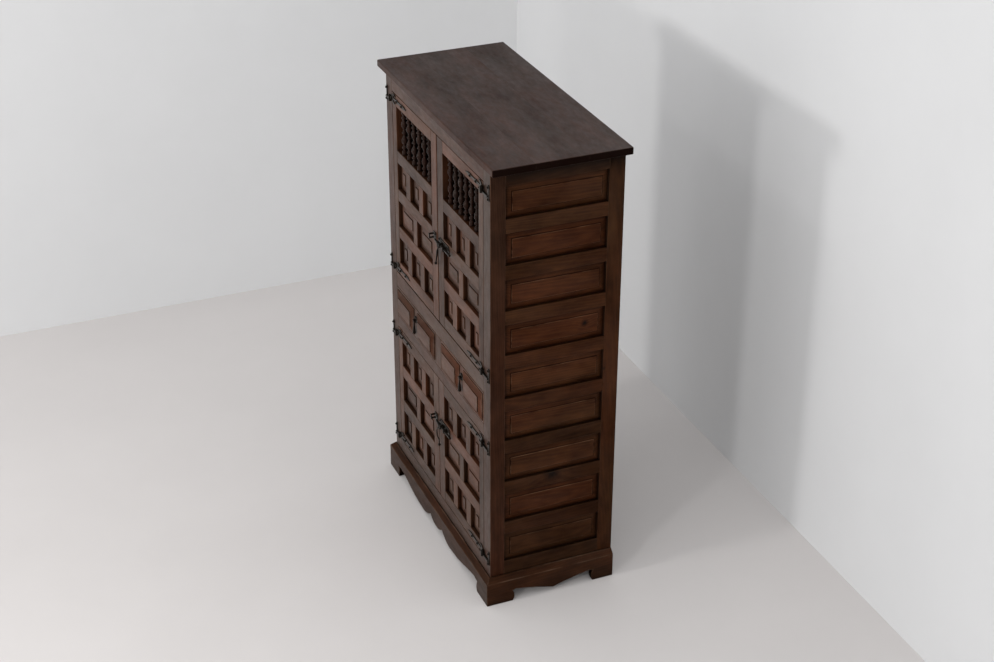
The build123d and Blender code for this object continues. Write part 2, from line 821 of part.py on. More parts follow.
def round_staple(x0, z):
    """A bridge that guides the bolt's bar, standing on its plate."""
    outer = bolt_radius + bolt_clearance + staple_wall
    y_plate = front_y - bolt_plate_thickness
    arch = block(x0, x0 + staple_width, bolt_axis_y, y_plate, z - outer, z + outer)
    arch += rod_x(x0, x0 + staple_width, bolt_axis_y, z, outer)
    return arch - rod_x(x0 - 1, x0 + staple_width + 1, bolt_axis_y, z, bolt_radius + bolt_clearance)


def square_staple(x0, z):
    """A looser square bridge that catches the bolt's end."""
    inner = bolt_radius + keeper_play
    outer = inner + staple_wall
    y_plate = front_y - bolt_plate_thickness
    bridge = block(x0, x0 + staple_width, bolt_axis_y - outer, y_plate, z - outer, z + outer)
    return bridge - block(x0, x0 + staple_width, bolt_axis_y - inner, y_plate, z - inner, z + inner)


def bolt_plate(door):
    z = door.bolt_height()
    x0 = bolt_plate_span(door)[0]
    solid = nailed_plate(door, bolt_plate_height)
    for offset in staple_offsets:
        solid += round_staple(x0 + offset, z)
    seat = front_y - bolt_plate_thickness
    return drilled(solid, [nail_hole(x, height, seat) for x, height in bolt_nail_points(door)])


def keeper(door):
    x0 = bolt_plate_span(door)[0]
    solid = nailed_plate(door, keeper_plate_height)
    solid += square_staple(x0 + keeper_staple_inset, door.bolt_height())
    seat = front_y - bolt_plate_thickness
    return drilled(solid, [nail_hole(x, height, seat) for x, height in bolt_nail_points(door)])


def lug(x, y, z, root_y, root_z):
    """An ear with a cross hole for a drop's pin, rooted at (root_y, root_z)."""
    half = drop_lug_width / 2
    ear = rod_x(x - half, x + half, y, z, drop_lug_radius)
    low_y, high_y = sorted((y, root_y))
    low_z, high_z = sorted((z, root_z))
    if high_y - low_y < 1:
        low_y, high_y = y - drop_lug_radius, y + drop_lug_radius
    if high_z - low_z < 1:
        low_z, high_z = z - drop_lug_radius, z + drop_lug_radius
    ear += block(x - half, x + half, low_y, high_y, low_z, high_z)
    return ear - rod_x(x - half - 1, x + half + 1, y, z, drop_pin_radius + drop_pin_clearance)


def drop_fork(x, y, z, bridge_z):
    """Two cheeks and a pin that hang a drop from its lug, down to a bridge."""
    start = drop_lug_width / 2 + drop_cheek_gap
    end = start + drop_cheek_width
    half = drop_thickness / 2
    fork = rod_x(x - end, x + end, y, z, drop_pin_radius)
    for side in (-1, 1):
        low, high = sorted((x + side * start, x + side * end))
        fork += rod_x(low, high, y, z, drop_lug_radius)
        fork += block(low, high, y - half, y + half, bridge_z, z)
    fork += block(x - end, x + end, y - half, y + half, bridge_z - 3, bridge_z)
    return fork


def bridge_height(z):
    return z - drop_lug_radius - 1.5


def plate_drop(outline, y):
    half = drop_thickness / 2
    return extrude(Plane.XZ.offset(-(y + half)) * outline, drop_thickness)


def pear_drop(x, y, z):
    """A solid drop for a drawer: a slim neck below its fork, and full near its foot."""
    r = pull_drop_radius
    top, foot = bridge_height(z) - 1, z - pull_drop_length
    height = top - foot
    profile = [(2.3, top), (2.0, top - height * 0.14), (r * 0.56, top - height * 0.36),
               (r * 0.84, top - height * 0.62), (r, top - height * 0.84),
               (r * 0.9, top - height * 0.93), (r * 0.55, top - height * 0.99)]
    outline = Polyline((0, top), *profile, (0, foot), close=True)
    body = revolve(Plane.XZ * make_face(outline), Axis.Z)
    return drop_fork(x, y, z, bridge_height(z)) + Pos(x, y, 0) * body


def leaf_drop(x, y, z, length, width, lean):
    """A drop that swells below its fork, narrows and ends in a ball, leaning to -X."""
    top = bridge_height(z) - 1
    tip_x, tip = x - lean, z - length + ball_radius
    swell_x, swell = x - lean * 0.2, top - length * 0.18
    outline = Polyline((x - 3, top), (swell_x - width / 2, swell), (tip_x - 2, tip),
                       (tip_x + 2, tip), (swell_x + width / 2, swell), (x + 3, top), close=True)
    return (drop_fork(x, y, z, bridge_height(z)) + plate_drop(make_face(outline), y)
            + Pos(tip_x, y, tip) * Sphere(ball_radius))


def loop_drop(x, y, z):
    """A round loop below its fork, open towards +X, with a ball under it."""
    centre = bridge_height(z) - 1 - loop_outer_radius
    outline = Pos(x, centre) * Circle(loop_outer_radius) - Pos(x, centre) * Circle(loop_inner_radius)
    outline -= Pos(x + loop_outer_radius, centre) * Rectangle(1.7 * loop_outer_radius, 2 * loop_outer_radius)
    tip = z - loop_drop_length + ball_radius
    top = centre - (loop_outer_radius + loop_inner_radius) / 2
    outline += Pos(x, (tip + top) / 2) * Rectangle(4, top - tip)
    return (drop_fork(x, y, z, bridge_height(z)) + plate_drop(outline, y)
            + Pos(x, y, tip) * Sphere(ball_radius))


def bolt_lug_x(door):
    return door.inner + bolt_end_set_back + bolt_lug_position


def bolt_bar(door):
    z = door.bolt_height()
    x0 = door.inner + bolt_end_set_back
    x1 = x0 + bolt_length
    bar = rod_x(x0, x1, bolt_axis_y, z, bolt_radius)
    x = bolt_lug_x(door)
    half = bolt_collar_length / 2
    collar = rod_x(x - half, x + half, bolt_axis_y, z, bolt_radius + 2)
    return bar + collar + lug(x, bolt_axis_y, z - bolt_lug_drop, bolt_axis_y, z)


def bolt_drop(door):
    z = door.bolt_height() - bolt_lug_drop
    x = bolt_lug_x(door)
    if door.tier == "lower":
        return loop_drop(x, bolt_axis_y, z)
    return leaf_drop(x, bolt_axis_y, z, long_drop_length, long_drop_width, long_drop_lean)


# ---------------------------------------------------------------- drawers
class Drawer:
    """One drawer between the middle mullion and a post."""

    def __init__(self, side):
        half = drawer_mullion_width / 2
        low, high = sorted((side * (half + drawer_front_gap), side * (inner_x - drawer_front_gap)))
        self.low, self.high = low, high
        self.middle = (low + high) / 2
        self.base = drawer_low + drawer_lift
        self.head = drawer_high - drawer_front_gap
        self.centre_z = (drawer_low + drawer_high) / 2
        self.pull_z = self.centre_z + pull_lift
        self.pull_y = front_y - pull_stand_off
        self.box_back = front_y + drawer_front_thickness + drawer_box_length

    def raised_field(self, low, high, base, head):
        """A square step at the foot, a sloping margin, and a step up to the flat field."""
        bevel, step = drawer_field_bevel, drawer_field_step
        foot_y, brow_y = front_y - step, front_y - drawer_field_relief + step
        centre = Pos((low + high) / 2, (base + head) / 2)
        foot = Plane.XZ.offset(-foot_y) * centre * Rectangle(high - low, head - base)
        slope_end = Rectangle(high - low - 2 * (bevel - step), head - base - 2 * (bevel - step))
        brow = Plane.XZ.offset(-brow_y) * centre * slope_end
        field = block(low + bevel, high - bevel, brow_y - step, brow_y, base + bevel, head - bevel)
        return extrude(foot, -step) + loft([foot, brow], ruled=True) + field

    def front(self):
        board = block(self.low, self.high, front_y, front_y + drawer_front_thickness, self.base, self.head)
        border, spacing = drawer_field_border, drawer_field_spacing / 2
        base, head = self.base + border, self.head - border
        board += self.raised_field(self.low + border, self.middle - spacing, base, head)
        board += self.raised_field(self.middle + spacing, self.high - border, base, head)
        bottom_z = self.base + drawer_bottom_lift
        board -= block(self.low + drawer_side_thickness - 5, self.high - drawer_side_thickness + 5,
                       front_y + drawer_front_thickness - 7, front_y + drawer_front_thickness,
                       bottom_z, bottom_z + drawer_bottom_thickness)
        return drilled(board, [nail_hole(self.middle, z, front_y) for z in self.pull_nails()])

    def box(self):
        y0, y1 = front_y + drawer_front_thickness, self.box_back
        t = drawer_side_thickness
        z0, z1 = self.base, self.base + drawer_side_height
        groove_z = z0 + drawer_bottom_lift
        low_side = block(self.low, self.low + t, y0, y1, z0, z1)
        high_side = block(self.high - t, self.high, y0, y1, z0, z1)
        slot = block(self.low + t - 5, self.high - t + 5, y0 - 7, y1, groove_z,
                     groove_z + drawer_bottom_thickness)
        back = block(self.low + t, self.high - t, y1 - t, y1,
                     groove_z + drawer_bottom_thickness, z1)
        return [low_side - slot, high_side - slot, back]

    def bottom(self):
        t = drawer_side_thickness
        z = self.base + drawer_bottom_lift
        y0 = front_y + drawer_front_thickness - 7 + panel_play
        return block(self.low + t - 5 + panel_play, self.high - t + 5 - panel_play, y0,
                     self.box_back - panel_play, z, z + drawer_bottom_thickness)

    def pull_nails(self):
        return (self.pull_z - pull_plate_radius * 0.68, self.pull_z + pull_plate_radius * 0.68)

    def pull(self):
        outline = Pos(self.middle, self.pull_z) * RegularPolygon(pull_plate_radius, 8)
        plate = extrude(Plane.XZ.offset(-front_y) * outline, pull_plate_thickness)
        seat = front_y - pull_plate_thickness
        plate = drilled(plate, [nail_hole(self.middle, z, seat) for z in self.pull_nails()])
        nails = [nail(self.middle, z, seat) for z in self.pull_nails()]
        return [plate + lug(self.middle, self.pull_y, self.pull_z, seat, self.pull_z)] + nails

    def drop(self):
        return pear_drop(self.middle, self.pull_y, self.pull_z)


# ---------------------------------------------------------------- assembly
def build():
    parts = {}
    parts["top_planks"] = top_planks()
    parts["plinth_front"] = [plinth_front()]
    parts["plinth_right"] = [plinth_right()]
    parts["plinth_left"] = [mirrored(part) for part in parts["plinth_right"]]

    front_post, back_post, side_rails, side_panels = right_side()
    post = Member((inner_x, half_width, 0, front_post_depth, 0, body_top))
    front_members = front_rail_members()
    for member in front_members:
        for tenon in member.tenons:
            if reaches_into(post.body, tenon):
                front_post -= block(*on_front(*tenon))
    front_post = drilled(front_post, [nail_hole(x, z, front_y) for x, z in hinge_nail_points()])
    back_post -= block(half_width - back_post_width, half_width - back_rebate_width,
                       back_inner_y, back_y, rail_bottom, body_top)
    for side, turn in (("right", lambda part: part), ("left", mirrored)):
        parts["front_post_" + side] = [turn(front_post)]
        parts["back_post_" + side] = [turn(back_post)]
        parts["side_rails_" + side] = [turn(part) for part in side_rails]
        parts["side_panels_" + side] = [turn(part) for part in side_panels]
    parts["front_rails"] = cut_joints(on_front, front_members, [])
    parts["back_boards"] = back_boards()
    parts["back_rails"] = back_rails()

    board_front = front_y + frame_thickness + board_clearance
    shelf_front = front_y + front_post_depth + shelf_front_gap
    parts["cabinet_floor"] = [carcass_board(floor_top, board_thickness, board_front)]
    parts["drawer_deck"] = [carcass_board(deck_top, board_thickness, board_front)]
    parts["upper_floor"] = [carcass_board(upper_floor_top, board_thickness, board_front)]
    parts["upper_shelf"] = [carcass_board(upper_shelf_top, shelf_thickness, shelf_front)]
    parts["lower_shelf"] = [carcass_board(lower_shelf_top, shelf_thickness, shelf_front)]
    parts["shelf_cleats"] = cleats()
    parts["drawer_guides"] = drawer_guides()

    plates = [pintle(z) for pair in strap_heights().values() for z in pair]
    parts["hinge_pintles"] = plates + [mirrored(plate) for plate in plates]
    seat = front_y - hinge_plate_thickness
    plate_nails = [strap_nail(x, z, seat) for x, z in hinge_nail_points()]
    parts["hinge_plate_nails"] = plate_nails + [mirrored(part) for part in plate_nails]

    for tier in ("upper", "lower"):
        for side_name, side in (("left", -1), ("right", 1)):
            door = Door(tier, side)
            name = tier + "_" + side_name + "_door_"
            parts[name + "frame"] = door.frame()
            parts[name + "panels"] = door.panels()
            if tier == "upper":
                parts[name + "spindles"] = door.spindles()
            straps = [strap(z) for z in strap_heights()[tier]]
            parts[name + "straps"] = straps if side > 0 else [mirrored(part) for part in straps]
            strap_seat = front_y - strap_thickness
            plate_seat = front_y - bolt_plate_thickness
            nails = [strap_nail(x, z, strap_seat) for x, z in strap_nail_points(tier, side)]
            nails += [nail(x, z, plate_seat) for x, z in bolt_nail_points(door)]
            parts[name + "nails"] = nails
            if side > 0:
                parts[name + "bolt_plate"] = [bolt_plate(door)]
                parts[tier + "_bolt_bar"] = [bolt_bar(door)]
                parts[tier + "_bolt_drop"] = [bolt_drop(door)]
            else:
                parts[name + "keeper"] = [keeper(door)]

    for side_name, side in (("left", -1), ("right", 1)):
        drawer = Drawer(side)
        name = side_name + "_drawer_"
        parts[name + "front"] = [drawer.front()]
        parts[name + "box"] = drawer.box()
        parts[name + "bottom"] = [drawer.bottom()]
        parts[name + "pull"] = drawer.pull()
        parts[name + "drop"] = [drawer.drop()]
    return parts


os.makedirs("parts", exist_ok=True)
for node, solids in build().items():
    export_step(group(solids), "parts/" + node + ".step")
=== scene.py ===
import json
import math
import random

import bmesh
import bpy
from mathutils import Euler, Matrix, Quaternion, Vector, noise

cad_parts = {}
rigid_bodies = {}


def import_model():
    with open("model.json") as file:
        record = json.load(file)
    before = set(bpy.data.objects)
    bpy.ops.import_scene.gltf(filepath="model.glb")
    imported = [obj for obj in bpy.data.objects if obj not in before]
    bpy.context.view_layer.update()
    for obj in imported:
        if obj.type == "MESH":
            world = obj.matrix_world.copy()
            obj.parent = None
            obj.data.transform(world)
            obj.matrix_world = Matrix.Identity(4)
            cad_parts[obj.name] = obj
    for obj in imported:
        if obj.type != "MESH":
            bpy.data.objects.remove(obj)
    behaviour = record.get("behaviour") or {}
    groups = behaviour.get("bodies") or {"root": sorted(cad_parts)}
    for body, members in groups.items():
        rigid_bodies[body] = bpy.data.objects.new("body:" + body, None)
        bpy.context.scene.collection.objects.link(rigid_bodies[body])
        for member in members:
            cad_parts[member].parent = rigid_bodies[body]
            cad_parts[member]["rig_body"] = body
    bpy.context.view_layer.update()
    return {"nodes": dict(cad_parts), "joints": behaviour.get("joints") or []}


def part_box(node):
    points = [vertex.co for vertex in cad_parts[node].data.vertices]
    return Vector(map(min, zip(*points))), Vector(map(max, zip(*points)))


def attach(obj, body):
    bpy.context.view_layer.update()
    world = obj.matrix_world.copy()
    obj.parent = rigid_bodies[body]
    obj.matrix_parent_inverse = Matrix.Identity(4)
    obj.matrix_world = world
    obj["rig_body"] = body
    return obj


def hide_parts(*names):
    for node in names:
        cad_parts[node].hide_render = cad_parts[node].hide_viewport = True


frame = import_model()


# ------------------------------------------------------------------ posts and rails
# The skeleton is pine, mortised and tenoned: four posts, the rails of the front and the
# sides. It is stained dark, waxed, and its arrises are rubbed down by hand and by use.

def node(tree, kind, inputs=None, output=0, **settings):
    """Adds a node, sets it, links or fills its inputs, and returns one of its outputs."""
    made = tree.nodes.new(kind)
    for name, value in settings.items():
        setattr(made, name, value)
    for name, value in (inputs or {}).items():
        if isinstance(value, bpy.types.NodeSocket):
            tree.links.new(value, made.inputs[name])
        else:
            made.inputs[name].default_value = value
    return made.outputs[output]


def calc(tree, operation, a, b=0.0):
    """One step of arithmetic on two values."""
    return node(tree, "ShaderNodeMath", {0: a, 1: b}, operation=operation)


def remap(tree, value, low, high, to_low=0.0, to_high=1.0):
    """A value taken from one range to another, and held at its ends."""
    return node(tree, "ShaderNodeMapRange",
                {"Value": value, "From Min": low, "From Max": high, "To Min": to_low, "To Max": to_high})


def blended(tree, factor, a, b, blend="MIX"):
    """Two colours mixed by a factor, or one tinted by the other."""
    return node(tree, "ShaderNodeMix", {0: factor, 6: a, 7: b}, output=2,
                data_type="RGBA", blend_type=blend)


def texture(tree, place, stretch, detail=3.0, roughness=0.5):
    """Noise from 0 to 1, its cells stretched by 1/stretch metres on each axis."""
    scaled = node(tree, "ShaderNodeVectorMath", {0: place, 1: stretch}, operation="MULTIPLY")
    return node(tree, "ShaderNodeTexNoise",
                {"Vector": scaled, "Scale": 1.0, "Detail": detail, "Roughness": roughness})


def wood(name, deep, face, worn, roughness, gloss, wear=0.5, spread=0.2, eaves=None, knots=()):
    """Stained softwood whose figure follows the grain of each board.

    deep and face are the colours of late and early wood, worn is that of rubbed arrises, and
    wear is how far they are rubbed. gloss is the specular level of the sides and of the front, a
    painted sheen set by which way each face looks. spread is how far boards and patches differ in
    tone, and knots are centres and sizes. A painted shadow darkens the wood towards the height of
    eaves, the underside of what overhangs it.
    """
    material = bpy.data.materials.new(name)
    material.use_nodes = True
    tree = material.node_tree
    shader = tree.nodes["Principled BSDF"]
    grain = node(tree, "ShaderNodeAttribute", attribute_name="grain", output="Vector")
    tone = node(tree, "ShaderNodeAttribute", attribute_name="tone", output="Fac")
    marks = tree.nodes.new("ShaderNodeSeparateXYZ")
    marked = node(tree, "ShaderNodeAttribute", attribute_name="marks", output="Vector")
    tree.links.new(marked, marks.inputs[0])
    edge, crease_shade, end = marks.outputs
    black = (deep[0] * 0.35, deep[1] * 0.35, deep[2] * 0.35, 1.0)
    shift = node(tree, "ShaderNodeVectorMath", {0: (31.0, 1.7, 2.3), "Scale": tone}, operation="SCALE")
    place = node(tree, "ShaderNodeVectorMath", {0: grain, 1: shift}, operation="ADD")

    # Growth rings, some 7 mm apart, about a pith that runs a little askew of the board.
    rings_turn = 900.0
    axes = tree.nodes.new("ShaderNodeSeparateXYZ")
    tree.links.new(grain, axes.inputs[0])
    pith = calc(tree, "MULTIPLY", axes.outputs[0], 0.045)
    across = calc(tree, "ADD", axes.outputs[1], calc(tree, "MULTIPLY", tone, 0.06))
    depth = calc(tree, "ADD", axes.outputs[2], calc(tree, "ADD", pith, 0.035))
    radius = calc(tree, "SQRT", calc(tree, "ADD", calc(tree, "MULTIPLY", across, across),
                                     calc(tree, "MULTIPLY", depth, depth)))
    sway = texture(tree, place, (2.2, 13.0, 13.0), 3.0)
    phase = calc(tree, "ADD", calc(tree, "MULTIPLY", radius, rings_turn),
                 calc(tree, "MULTIPLY", sway, 24.0))
    knot = None
    for centre, size in knots:
        spot = node(tree, "ShaderNodeTexCoord", output="Object")
        far = node(tree, "ShaderNodeVectorMath", {0: spot, 1: centre}, output="Value",
                   operation="DISTANCE")
        wobble = calc(tree, "MULTIPLY", texture(tree, place, (90.0, 90.0, 90.0), 2.0), size)
        reach = calc(tree, "ADD", far, wobble)
        phase = calc(tree, "ADD", phase, remap(tree, reach, size * 0.5, size * 4.0, 9.0, 0.0))
        core = remap(tree, reach, size * 2.2, size * 0.8)
        knot = core if knot is None else calc(tree, "MAXIMUM", knot, core)
    ring = calc(tree, "POWER", remap(tree, calc(tree, "SINE", phase), -1.0, 1.0), 1.7)

    streak = texture(tree, place, (5.0, 170.0, 170.0), 4.0, 0.6)
    fibre = texture(tree, place, (40.0, 1500.0, 1500.0), 3.0, 0.6)
    stain = texture(tree, place, (3.5, 9.0, 9.0), 5.0, 0.6)
    blotch = texture(tree, place, (12.0, 26.0, 26.0), 4.0, 0.6)
    figure = 0.0
    streak, blotch = remap(tree, streak, 0.3, 0.7), remap(tree, blotch, 0.36, 0.64)
    for layer, share in ((ring, 0.22), (streak, 0.26), (fibre, 0.2), (blotch, 0.38)):
        figure = calc(tree, "ADD", calc(tree, "MULTIPLY", layer, share), figure)
    colour = blended(tree, figure, (*deep, 1.0), (*face, 1.0))
    patch = remap(tree, stain, 0.32, 0.68, 1.0 - spread, 1.0 + spread)
    bright = calc(tree, "MULTIPLY", patch, remap(tree, tone, -1.0, 1.0, 1.0 - spread, 1.0 + spread))
    colour = blended(tree, 1.0, colour, bright, "MULTIPLY")
    redder = blended(tree, 1.0, colour, (1.16, 0.93, 0.84, 1.0), "MULTIPLY")
    bare = remap(tree, texture(tree, place, (1.1, 4.0, 4.0), 2.0), 0.4, 0.62)
    colour = blended(tree, bare, colour, redder)
    if knot is not None:
        colour = blended(tree, knot, colour, black)
    colour = blended(tree, calc(tree, "MULTIPLY", end, 0.92), colour, black)

    # Painted shade darkens corners, gaps and the wood near overhangs; the arrises are rubbed through.
    for reach, clean, darkest in ((0.02, 0.92, 0.36), (0.08, 0.9, 0.4)):
        painted_shade = node(tree, "ShaderNodeAmbientOcclusion", {"Distance": reach}, output="AO", samples=6)
        colour = blended(tree, 1.0, colour, remap(tree, painted_shade, 0.15, clean, darkest, 1.0), "MULTIPLY")
    # Painted shadow of the top's overhang: the wood darkens in the last few centimetres below eaves.
    if eaves:
        height = tree.nodes.new("ShaderNodeSeparateXYZ")
        tree.links.new(node(tree, "ShaderNodeTexCoord", output="Object"), height.inputs[0])
        overhang_shadow = remap(tree, height.outputs[2], eaves - 0.085, eaves - 0.018, 1.0, 0.22)
        colour = blended(tree, 1.0, colour, overhang_shadow, "MULTIPLY")
    # Painted shade in the quirks and narrow steps round the raised fields.
    colour = blended(tree, calc(tree, "MULTIPLY", crease_shade, 0.8), colour, black)
    rub = remap(tree, texture(tree, place, (14.0, 50.0, 50.0), 4.0), 0.4, 0.62)
    rub = calc(tree, "MULTIPLY", edge, rub)
    colour = blended(tree, calc(tree, "MULTIPLY", rub, wear), colour, (*worn, 1.0))
    tree.links.new(colour, shader.inputs["Base Color"])

    scuff = texture(tree, place, (26.0, 60.0, 60.0), 5.0, 0.7)
    rough = calc(tree, "ADD", remap(tree, scuff, 0.3, 0.7, roughness - 0.07, roughness + 0.1),
                 calc(tree, "MULTIPLY", figure, 0.08))
    tree.links.new(rough, shader.inputs["Roughness"])

    # Painted sheen: the specular level is high on faces that look straight to the front and low on
    # slopes and sides, which look away from it.
    facing = tree.nodes.new("ShaderNodeSeparateXYZ")
    tree.links.new(node(tree, "ShaderNodeTexCoord", output="Normal"), facing.inputs[0])
    straight, sloped = -0.998, -0.984
    sheen_by_facing = remap(tree, facing.outputs[1], straight, sloped, gloss[1], gloss[0])
    sheen_by_facing = calc(tree, "MULTIPLY", sheen_by_facing, remap(tree, stain, 0.34, 0.66, 0.45, 1.16))
    for mark, dulled in ((crease_shade, 0.8), (end, 0.95)):
        kept = calc(tree, "SUBTRACT", 1.0, calc(tree, "MULTIPLY", mark, dulled))
        sheen_by_facing = calc(tree, "MULTIPLY", sheen_by_facing, kept)
    tree.links.new(sheen_by_facing, shader.inputs["Specular IOR Level"])
    shader.inputs["Specular Tint"].default_value = (1.0, 0.98, 0.91, 1.0)

    height = calc(tree, "ADD", calc(tree, "MULTIPLY", figure, 0.6), calc(tree, "MULTIPLY", scuff, 0.5))
    bump = node(tree, "ShaderNodeBump", {"Strength": 0.55, "Distance": 0.0006, "Height": height})
    tree.links.new(bump, shader.inputs["Normal"])
    return material


def solids(name):
    """The separate solids of a CAD node: each a list of faces, each face a list of corners."""
    mesh = frame["nodes"][name].data
    spots = [tuple(round(c, 6) for c in vertex.co) for vertex in mesh.vertices]
    found, faces, unmet = [], [], set()
    for polygon in mesh.polygons:
        loop = [spots[i] for i in polygon.vertices]
        faces.append(loop)
        for a, b in zip(loop, loop[1:] + loop[:1]):
            if (b, a) in unmet:
                unmet.remove((b, a))
            elif a != b:
                unmet.add((a, b))
        if not unmet:
            found.append(faces)
            faces = []
    return found


def whole(faces):
    """One solid's faces joined into a closed bmesh, with flat areas as single faces."""
    bm = bmesh.new()
    corners = {}
    for loop in faces:
        verts = [corners.get(spot) or corners.setdefault(spot, bm.verts.new(spot)) for spot in loop]
        if len(set(verts)) > 2:
            bm.faces.new(verts)
    bm.normal_update()
    bmesh.ops.dissolve_limit(bm, angle_limit=math.radians(0.4), verts=bm.verts, edges=bm.edges)
    bm.normal_update()
    return bm


def finish_mesh(name, mesh, material, body, *nodes, slot=None, crisp=48):
    """Gives a mesh even shading and puts it on its body in the place of the CAD nodes.

    Edges that turn by more than crisp degrees stay sharp, but for those of eased arrises.
    """
    mesh.materials.clear()
    mesh.materials.append(material)
    bm = bmesh.new()
    bm.from_mesh(mesh)
    marks = bm.faces.layers.float_vector.get("marks")
    for face in bm.faces:
        face.smooth = True
    for edge in bm.edges:
        rounded = marks and any(face[marks].x + face[marks].y > 0.9 for face in edge.link_faces)
        edge.smooth = rounded or edge.calc_face_angle(0.0) < math.radians(crisp)
    bm.to_mesh(mesh)
    bm.free()
    made = bpy.data.objects.new(name + "_draft", mesh)
    bpy.context.scene.collection.objects.link(made)
    made.modifiers.new("normals", "WEIGHTED_NORMAL").keep_sharp = True
    plain = bpy.data.meshes.new_from_object(made.evaluated_get(bpy.context.evaluated_depsgraph_get()))
    bpy.data.objects.remove(made)
    piece = bpy.data.objects.new(name, plain)
    bpy.context.scene.collection.objects.link(piece)
    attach(piece, body)
    if nodes:
        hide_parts(*nodes)


def turned_edges(bm, low, high, shortest):
    """Edges whose faces turn between two angles in degrees, hollow ones below zero."""
    return [e for e in bm.edges if len(e.link_faces) == 2 and e.calc_length() > shortest
            and math.radians(low) < e.calc_face_angle_signed() < math.radians(high)]


def strip_width(face):
    """The width of a face that is much longer than it is wide."""
    return 2 * face.calc_area() / face.calc_perimeter()


def box_of(spots):
    """The lowest and the highest corner of the box round some points."""
    spots = list(spots)
    return Vector(map(min, *spots)), Vector(map(max, *spots))


def outside(edge, low, high):
    """Whether an edge is on the face or a corner of a joined stick, not in a mortise or groove."""
    def flush(axis):
        a, b = (vertex.co[axis] for vertex in edge.verts)
        return abs(a - b) < 1e-5 and min(abs(a - low[axis]), abs(a - high[axis])) < 1e-5
    thin = min(range(3), key=lambda axis: high[axis] - low[axis])
    faced = high[thin] - low[thin] < 0.03 and flush(thin)
    return faced or sum(map(flush, range(3))) > 1


def boards(name, material, slot, grain=None, arris=0.0012, shortest=0.006, quirk=0.0, joined=False,
           margin=0.0, seed=1):
    """A CAD node's solids as boards: eased arrises, quirks darkened by painted shade, and grain along
    each one.

    grain is the axis that the grain follows, if not each board's longest. Edges shorter than
    shortest stay sharp. quirk is the width of the hollow round a raised field, which is painted dark
    as shade, and margin is how far the field is planed back at its sides. Joined boards are eased
    only on the edges that no mortise or groove hides. Another seed gives other differences from board to
    board.
    The faces are sorted by their corners, so that each run gives the same mesh.
    """
    chance = random.Random(name + str(seed))
    points, faces, along, tones, edges = [], [], [], [], []
    for solid in solids(name):
        bm = whole(solid)
        low, high = box_of(vertex.co for vertex in bm.verts)
        for vertex in bm.verts:
            on_field = vertex.co.y < low.y + 0.004
            if margin and on_field:
                vertex.co.x -= math.copysign(margin, vertex.co.x - (low.x + high.x) / 2)
                vertex.co.z -= math.copysign(margin, vertex.co.z - (low.z + high.z) / 2)
        filled = set()
        if quirk:
            hollow = turned_edges(bm, -120, -60, shortest)
            filled = set(bmesh.ops.bevel(bm, geom=hollow, offset=quirk, segments=1, profile=0.5,
                                         affect="EDGES", clamp_overlap=False)["faces"])
            bm.normal_update()
        sharp = [edge for edge in turned_edges(bm, 38, 180, shortest)
                 if not joined or outside(edge, low, high)]
        eased = set(bmesh.ops.bevel(bm, geom=sharp, offset=arris * chance.uniform(0.85, 1.3), segments=2,
                                    profile=0.6, affect="EDGES", clamp_overlap=False)["faces"])
        bm.normal_update()
        beside = {near for face in filled if face.is_valid
                  for edge in face.edges for near in edge.link_faces}
        size, middle = high - low, (low + high) / 2
        order = sorted(range(3), key=lambda axis: -size[axis])
        if grain is not None:
            order.remove(grain)
            order.insert(0, grain)
        tone = chance.uniform(-1.0, 1.0)
        start = len(points)
        for index, vertex in enumerate(bm.verts):
            vertex.index = index
            points.append(vertex.co.copy())
            offset = vertex.co - middle
            along.append([offset[axis] for axis in order])
            tones.append(tone)
        outlines = {}
        for face in bm.faces:
            loop = [start + vertex.index for vertex in face.verts]
            first = loop.index(min(loop))
            outlines[tuple(loop[first:] + loop[:first])] = face
        for loop, face in sorted(outlines.items()):
            faces.append(loop)
            # Quirks, and the narrow steps beside them, are marked for painted shade.
            quirk_shade = 1.0 if face in filled else 0.7 * (face in beside and strip_width(face) < 0.004)
            edges += [float(face in eased), quirk_shade, float(abs(face.normal[order[0]]) > 0.7)]
        bm.free()
    mesh = bpy.data.meshes.new(name + "_boards")
    mesh.from_pydata(points, [], faces)
    mesh.attributes.new("grain", "FLOAT_VECTOR", "POINT").data.foreach_set(
        "vector", [value for triple in along for value in triple])
    mesh.attributes.new("tone", "FLOAT", "POINT").data.foreach_set("value", tones)
    mesh.attributes.new("marks", "FLOAT_VECTOR", "FACE").data.foreach_set("vector", edges)
    body = frame["nodes"][name]["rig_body"]
    finish_mesh(name + "_wood", mesh, material, body, name, slot=slot, crisp=12)


frame_wood = wood("frame_wood", deep=(0.016, 0.0062, 0.0028), face=(0.056, 0.0222, 0.0108),
                  worn=(0.13, 0.070, 0.040), roughness=0.40, gloss=(0.07, 0.68))
# The sides' wood is a darker, duller copy of the front's wood: painted shade for the sides.
side_wood = wood("side_wood", deep=(0.013, 0.0044, 0.0016), face=(0.046, 0.0178, 0.0062),
                 worn=(0.08, 0.040, 0.020), roughness=0.5, gloss=(0.08, 0.3), wear=0.35,
                 spread=0.24, eaves=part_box("top_planks")[0].z,
                 knots=[((0.456, 0.007, 0.460), 0.022), ((0.456, -0.023, 1.195), 0.004),
                        ((0.456, 0.082, 0.632), 0.004), ((0.456, 0.182, 0.82), 0.004)])
for part in ("front_post_left", "front_post_right", "front_rails"):
    boards(part, frame_wood, "stained_pine", joined=True, seed=7)
for part in ("back_post_left", "back_post_right", "side_rails_left", "side_rails_right"):
    boards(part, side_wood, "stained_pine", joined=True, seed=1944)


# ------------------------------------------------------------------ panels and plinth
# Raised and fielded panels float in grooves between the side rails. The plinth's boards
# are mitred round the foot, and sawn to a scalloped edge between the feet they leave.

